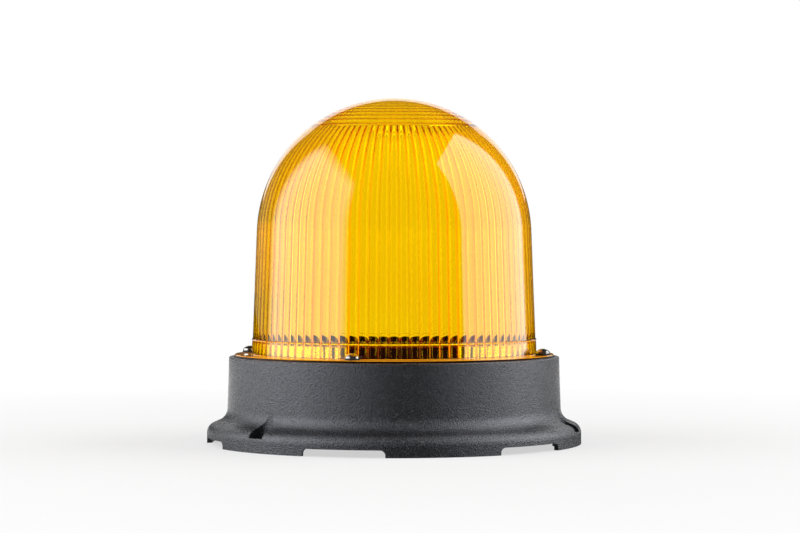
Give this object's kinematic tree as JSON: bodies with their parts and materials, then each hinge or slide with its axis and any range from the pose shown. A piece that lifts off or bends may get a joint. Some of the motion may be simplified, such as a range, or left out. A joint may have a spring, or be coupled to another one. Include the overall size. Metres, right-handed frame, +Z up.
{
  "type": "signal beacon",
  "caption": "Round amber signal beacon: a fluted dome lens over a ring of lights on a flared black base that screws down flat.",
  "frame": {"origin": "centre of the base on its mounting plane, level with the undersides of the feet", "axes": "+Z up through the crown of the lens; +X through one of the mounting holes and above it a lens screw"},
  "size_m": [0.1906, 0.1906, 0.1756],
  "materials": {
    "housing_plastic": "matte",
    "carrier_plastic": "satin",
    "lens_amber": "gloss",
    "seal_rubber": "matte",
    "screw_steel": "satin",
    "light_board": "satin",
    "led_body": "satin",
    "led_phosphor": "satin",
    "supply_board": "satin",
    "ferrite": "matte",
    "coil_tape": "satin",
    "choke_wire": "gloss",
    "can_sleeve": "gloss",
    "chip_epoxy": "matte",
    "fuse_glass": "polished",
    "contact_metal": "polished",
    "varistor_coat": "satin",
    "sink_metal": "satin",
    "terminal_plastic": "satin",
    "terminal_steel": "satin",
    "clamp_brass": "satin",
    "plug_plastic": "satin",
    "lead_red": "satin",
    "lead_black": "satin"
  },
  "bodies": {
    "base": {"base_housing": "housing_plastic", "base_plate": "housing_plastic", "led_carrier": "carrier_plastic", "lens_gasket": "seal_rubber", "plate_seal": "seal_rubber", "cable_grommet": "seal_rubber", "plate_screws": "screw_steel", "carrier_screws": "screw_steel", "led_board_screws": "screw_steel", "board_screws": "screw_steel", "led_board": "light_board", "led_packages": "led_body", "led_emitters": "led_phosphor", "power_board": "supply_board", "transformer_core": "ferrite", "choke_core": "ferrite", "transformer_coil": "coil_tape", "choke_winding": "choke_wire", "filter_capacitors": "can_sleeve", "bridge_rectifier": "chip_epoxy", "power_transistor": "chip_epoxy", "control_chips": "chip_epoxy", "fuse_tube": "fuse_glass", "fuse_caps": "contact_metal", "fuse_clips": "contact_metal", "varistor": "varistor_coat", "heat_sink": "sink_metal", "terminal_block": "terminal_plastic", "lead_header": "plug_plastic", "lead_plug": "plug_plastic", "lead_positive": "lead_red", "lead_negative": "lead_black"},
    "lens": {"lens_dome": "lens_amber", "lens_screws": "screw_steel", "screw_washers": "seal_rubber"},
    "screw_1": {"terminal_screw_1": "terminal_steel"},
    "clamp_1": {"clamp_cage_1": "clamp_brass"},
    "screw_2": {"terminal_screw_2": "terminal_steel"},
    "clamp_2": {"clamp_cage_2": "clamp_brass"}
  },
  "joints": [
    {"name": "lens_lift", "type": "slide", "parent": "base", "child": "lens", "axis": [0, 0, 1], "range_m": [0, 0.1]},
    {"name": "terminal_turn_1", "type": "hinge", "parent": "base", "child": "screw_1", "pos_m": [0.008, -0.00375, 0.02395], "axis": [0, 0, -1], "range_deg": [0, 1441]},
    {"name": "clamp_rise_1", "type": "slide", "parent": "base", "child": "clamp_1", "axis": [0, 0, 1], "range_m": [0, 0.002]},
    {"name": "terminal_turn_2", "type": "hinge", "parent": "base", "child": "screw_2", "pos_m": [0.008, 0.00375, 0.02395], "axis": [0, 0, -1], "range_deg": [0, 1441]},
    {"name": "clamp_rise_2", "type": "slide", "parent": "base", "child": "clamp_2", "axis": [0, 0, 1], "range_m": [0, 0.002]}
  ],
  "couplings": [
    {"joint": "terminal_turn_1", "follows": "clamp_rise_1", "rad_per_m": 12566},
    {"joint": "terminal_turn_2", "follows": "clamp_rise_2", "rad_per_m": 12566}
  ]
}
